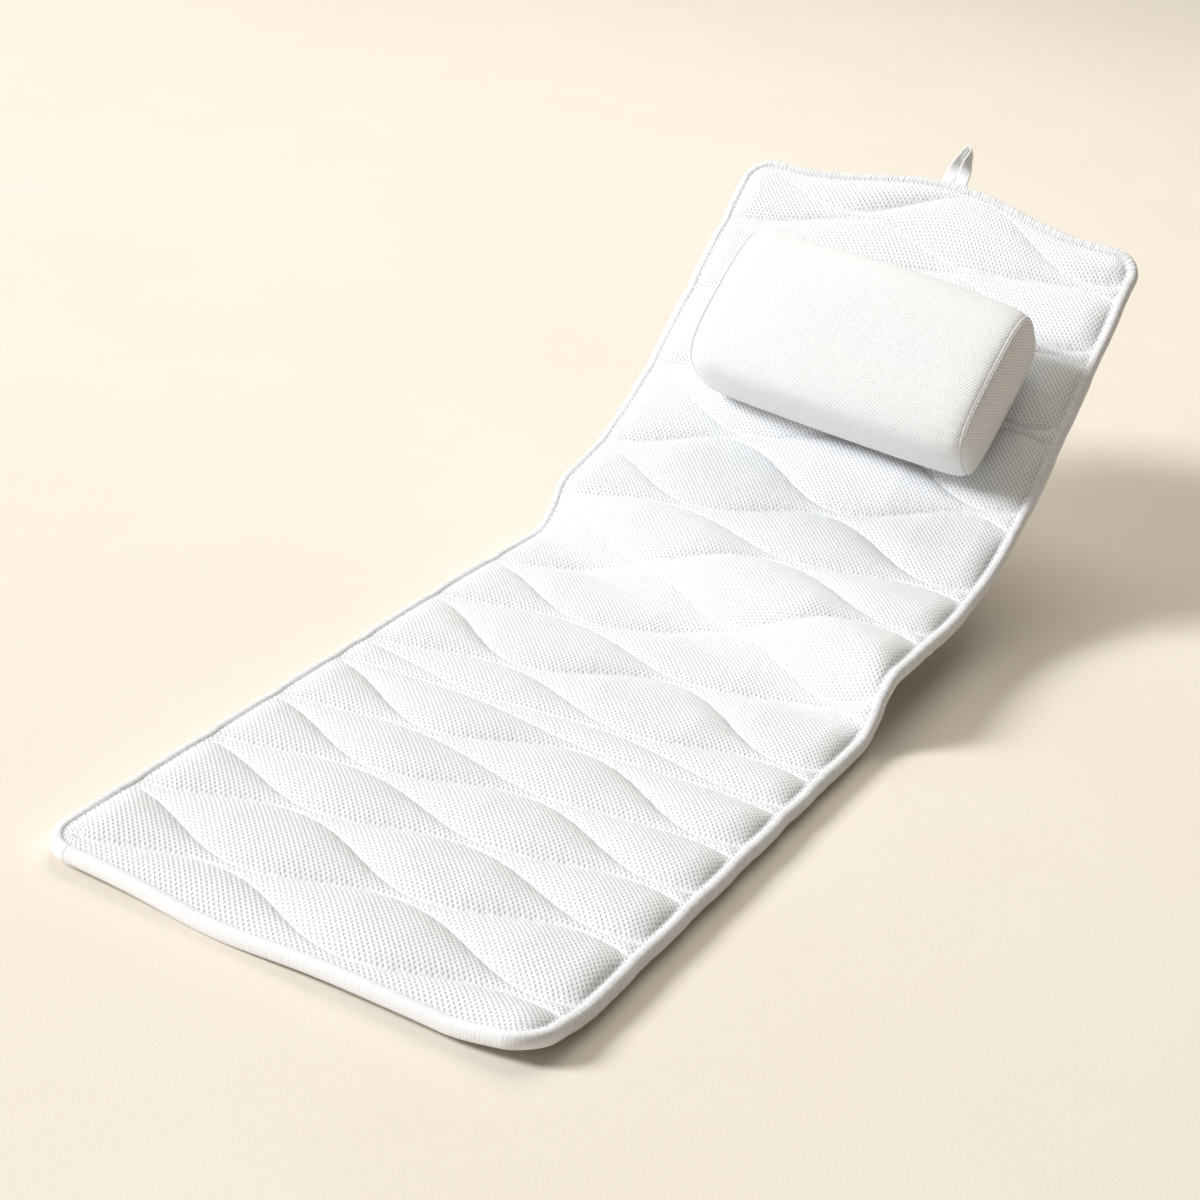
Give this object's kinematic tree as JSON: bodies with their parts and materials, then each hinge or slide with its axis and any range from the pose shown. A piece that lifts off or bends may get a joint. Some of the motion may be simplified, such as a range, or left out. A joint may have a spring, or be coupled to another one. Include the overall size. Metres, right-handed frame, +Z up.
{
  "type": "bath pillow",
  "caption": "Full-body bath pillow: quilted air mesh mat bent into seat and back, bound edge, head pillow, hanging loop and suction cups.",
  "frame": {"origin": "middle of the bounding box at its underside, on the rims of the seat's suction cups", "axes": "+Z up, +X across the mat, +Y from the foot end to the raised head end"},
  "size_m": [0.3974, 1.0734, 0.3328],
  "materials": {
    "air_mesh": "white quilted 3-D air mesh",
    "base_mesh": "open white net",
    "binding_knit": "white knitted tape",
    "cup_rubber": "milky clear, smooth",
    "pillow_knit": "warm white knit",
    "pillow_filling": "loose filling",
    "piping": "covered cord",
    "fastener_strip": "hook and loop strip"
  },
  "bodies": {
    "seat_section": {"seat_quilt": "air_mesh", "seat_base_mesh": "base_mesh", "seat_binding": "binding_knit", "seat_cup_1": "cup_rubber", "seat_cup_2": "cup_rubber", "seat_cup_3": "cup_rubber", "seat_cup_4": "cup_rubber", "seat_cup_5": "cup_rubber", "seat_cup_6": "cup_rubber", "seat_cup_7": "cup_rubber", "seat_cup_8": "cup_rubber", "seat_cup_9": "cup_rubber", "seat_cup_10": "cup_rubber", "seat_cup_11": "cup_rubber", "seat_cup_12": "cup_rubber"},
    "back_section": {"back_quilt": "air_mesh", "back_base_mesh": "base_mesh", "back_binding": "binding_knit", "mat_loop_strip_low": "fastener_strip", "mat_loop_strip_high": "fastener_strip", "back_cup_1": "cup_rubber", "back_cup_2": "cup_rubber", "back_cup_3": "cup_rubber", "back_cup_4": "cup_rubber", "back_cup_5": "cup_rubber", "back_cup_6": "cup_rubber"},
    "head_pillow": {"pillow_cover": "pillow_knit", "pillow_core": "pillow_filling", "pillow_end_left": "pillow_knit", "pillow_end_right": "pillow_knit", "pillow_piping_left": "piping", "pillow_piping_right": "piping", "pillow_hook_strip_low": "fastener_strip", "pillow_hook_strip_high": "fastener_strip"},
    "hang_tape": {"hang_loop": "binding_knit"}
  },
  "joints": [
    {"name": "back_fold", "type": "hinge", "parent": "seat_section", "child": "back_section", "pos_m": [0, 0.17897, 0.05378], "axis": [1, 0, 0], "range_deg": [-42, 80]},
    {"name": "pillow_slide", "type": "slide", "parent": "back_section", "child": "head_pillow", "axis": [0, 0.7379, 0.6749], "range_m": [-0.02, 0.02]},
    {"name": "loop_swing", "type": "hinge", "parent": "back_section", "child": "hang_tape", "pos_m": [0, 0.50429, 0.30159], "axis": [1, 0, 0], "range_deg": [-60, 60]}
  ]
}
